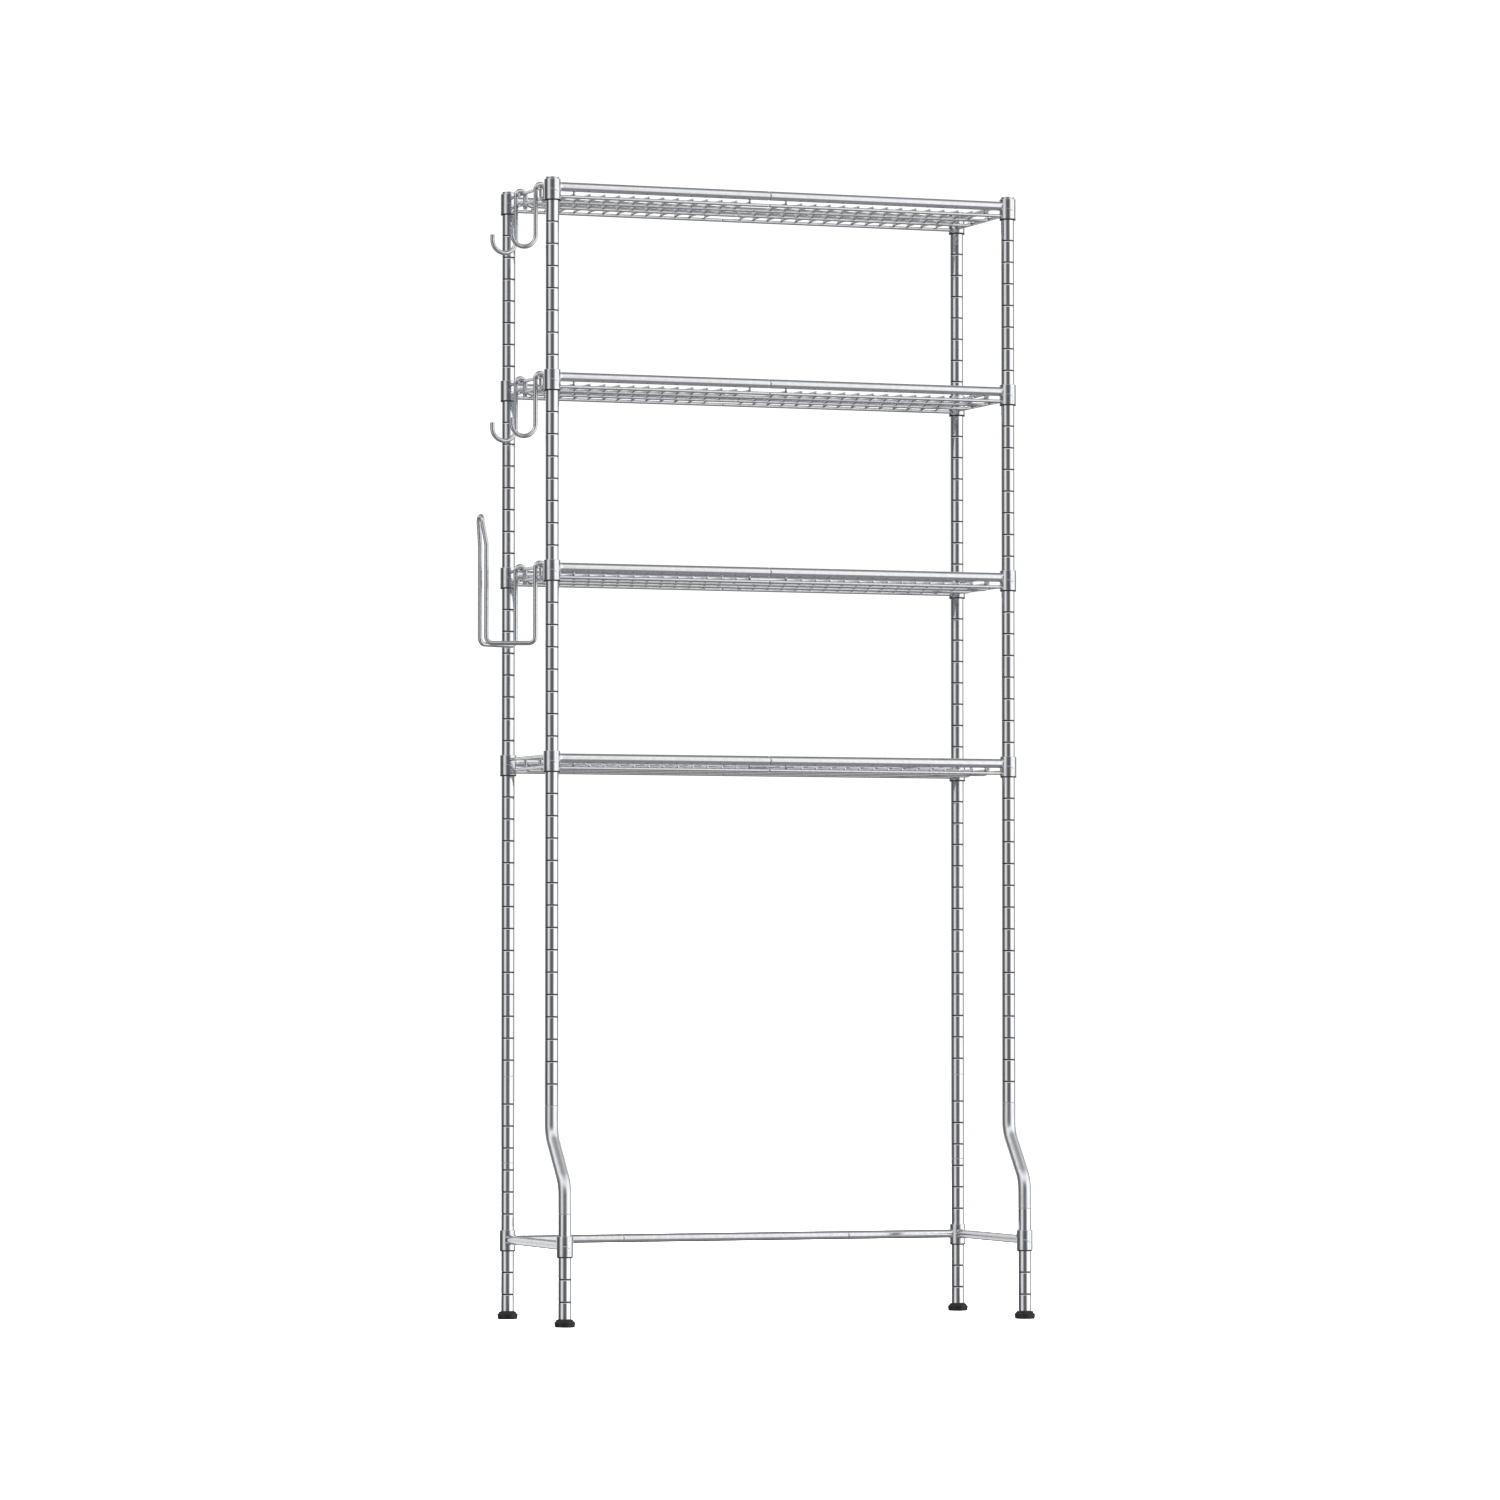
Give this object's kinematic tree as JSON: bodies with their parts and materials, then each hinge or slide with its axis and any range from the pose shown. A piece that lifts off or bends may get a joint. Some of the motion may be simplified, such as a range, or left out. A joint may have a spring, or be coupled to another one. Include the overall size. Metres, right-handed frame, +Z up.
{
  "type": "over-toilet storage rack",
  "caption": "Free-standing chromed steel rack that stands over a toilet: wire tray shelves on plug-together poles, stepped front legs, base frame, side hooks and a spare roll holder.",
  "frame": {"origin": "on the floor, at the middle of the rack's own width and depth", "axes": "+Z up, front (the side with the stepped legs) towards -Y, side with the hooks towards -X"},
  "size_m": [0.773, 0.277, 1.587],
  "materials": {
    "pole_chrome": "bright chrome plate on drawn steel tube",
    "rod_chrome": "chrome plate on welded steel tube, softer than the poles",
    "shelf_chrome": "chrome plate on welded steel tube and wire",
    "hook_chrome": "chrome plate on bent steel wire",
    "sleeve_plastic": "black moulded plastic",
    "foot_plastic": "black moulded plastic",
    "cap_chrome": "bright chrome plate on a moulded plug"
  },
  "bodies": {
    "frame": {"front_left_pole_cap": "cap_chrome", "front_left_pole_top": "pole_chrome", "front_left_pole_middle": "pole_chrome", "front_left_knee_tube": "pole_chrome", "front_left_leg": "pole_chrome", "base_sleeve_front_left": "sleeve_plastic", "lower_sleeve_front_left": "sleeve_plastic", "middle_sleeve_front_left": "sleeve_plastic", "upper_sleeve_front_left": "sleeve_plastic", "top_sleeve_front_left": "sleeve_plastic", "front_right_pole_cap": "cap_chrome", "front_right_pole_top": "pole_chrome", "front_right_pole_middle": "pole_chrome", "front_right_knee_tube": "pole_chrome", "front_right_leg": "pole_chrome", "base_sleeve_front_right": "sleeve_plastic", "lower_sleeve_front_right": "sleeve_plastic", "middle_sleeve_front_right": "sleeve_plastic", "upper_sleeve_front_right": "sleeve_plastic", "top_sleeve_front_right": "sleeve_plastic", "rear_left_pole_cap": "cap_chrome", "rear_left_pole_top": "pole_chrome", "rear_left_pole_middle": "pole_chrome", "rear_left_link_tube": "pole_chrome", "rear_left_leg": "pole_chrome", "base_sleeve_rear_left": "sleeve_plastic", "lower_sleeve_rear_left": "sleeve_plastic", "middle_sleeve_rear_left": "sleeve_plastic", "upper_sleeve_rear_left": "sleeve_plastic", "top_sleeve_rear_left": "sleeve_plastic", "rear_right_pole_cap": "cap_chrome", "rear_right_pole_top": "pole_chrome", "rear_right_pole_middle": "pole_chrome", "rear_right_link_tube": "pole_chrome", "rear_right_leg": "pole_chrome", "base_sleeve_rear_right": "sleeve_plastic", "lower_sleeve_rear_right": "sleeve_plastic", "middle_sleeve_rear_right": "sleeve_plastic", "upper_sleeve_rear_right": "sleeve_plastic", "top_sleeve_rear_right": "sleeve_plastic", "base_frame_left": "rod_chrome", "base_frame_right": "rod_chrome", "base_frame_rear_rod": "rod_chrome"},
    "front_left_foot": {"front_left_foot": "foot_plastic"},
    "front_right_foot": {"front_right_foot": "foot_plastic"},
    "rear_left_foot": {"rear_left_foot": "foot_plastic"},
    "rear_right_foot": {"rear_right_foot": "foot_plastic"},
    "lower_shelf": {"lower_shelf_left_half": "shelf_chrome", "lower_shelf_right_half": "shelf_chrome"},
    "middle_shelf": {"middle_shelf_left_half": "shelf_chrome", "middle_shelf_right_half": "shelf_chrome"},
    "upper_shelf": {"upper_shelf_left_half": "shelf_chrome", "upper_shelf_right_half": "shelf_chrome"},
    "top_shelf": {"top_shelf_left_half": "shelf_chrome", "top_shelf_right_half": "shelf_chrome"},
    "upper_shelf_front_hook": {"upper_shelf_front_hook": "hook_chrome"},
    "upper_shelf_rear_hook": {"upper_shelf_rear_hook": "hook_chrome"},
    "top_shelf_front_hook": {"top_shelf_front_hook": "hook_chrome"},
    "top_shelf_rear_hook": {"top_shelf_rear_hook": "hook_chrome"},
    "spare_roll_holder": {"spare_roll_holder": "hook_chrome"}
  },
  "joints": [
    {"name": "lower_shelf_lift", "type": "slide", "parent": "frame", "child": "lower_shelf", "axis": [0, 0, 1], "range_m": [0, 0.06]},
    {"name": "middle_shelf_lift", "type": "slide", "parent": "frame", "child": "middle_shelf", "axis": [0, 0, 1], "range_m": [0, 0.06]},
    {"name": "upper_shelf_lift", "type": "slide", "parent": "frame", "child": "upper_shelf", "axis": [0, 0, 1], "range_m": [0, 0.06]},
    {"name": "top_shelf_lift", "type": "slide", "parent": "frame", "child": "top_shelf", "axis": [0, 0, 1], "range_m": [0, 0.06]},
    {"name": "upper_shelf_front_hook_lift", "type": "slide", "parent": "upper_shelf", "child": "upper_shelf_front_hook", "axis": [0, 0, 1], "range_m": [0, 0.035]},
    {"name": "upper_shelf_rear_hook_lift", "type": "slide", "parent": "upper_shelf", "child": "upper_shelf_rear_hook", "axis": [0, 0, 1], "range_m": [0, 0.035]},
    {"name": "top_shelf_front_hook_lift", "type": "slide", "parent": "top_shelf", "child": "top_shelf_front_hook", "axis": [0, 0, 1], "range_m": [0, 0.035]},
    {"name": "top_shelf_rear_hook_lift", "type": "slide", "parent": "top_shelf", "child": "top_shelf_rear_hook", "axis": [0, 0, 1], "range_m": [0, 0.035]},
    {"name": "spare_roll_holder_lift", "type": "slide", "parent": "middle_shelf", "child": "spare_roll_holder", "axis": [0, 0, 1], "range_m": [0, 0.035]},
    {"name": "front_left_foot_screw", "type": "slide", "parent": "frame", "child": "front_left_foot", "axis": [0, 0, -1], "range_m": [0, 0.01]},
    {"name": "front_right_foot_screw", "type": "slide", "parent": "frame", "child": "front_right_foot", "axis": [0, 0, -1], "range_m": [0, 0.01]},
    {"name": "rear_left_foot_screw", "type": "slide", "parent": "frame", "child": "rear_left_foot", "axis": [0, 0, -1], "range_m": [0, 0.01]},
    {"name": "rear_right_foot_screw", "type": "slide", "parent": "frame", "child": "rear_right_foot", "axis": [0, 0, -1], "range_m": [0, 0.01]}
  ]
}
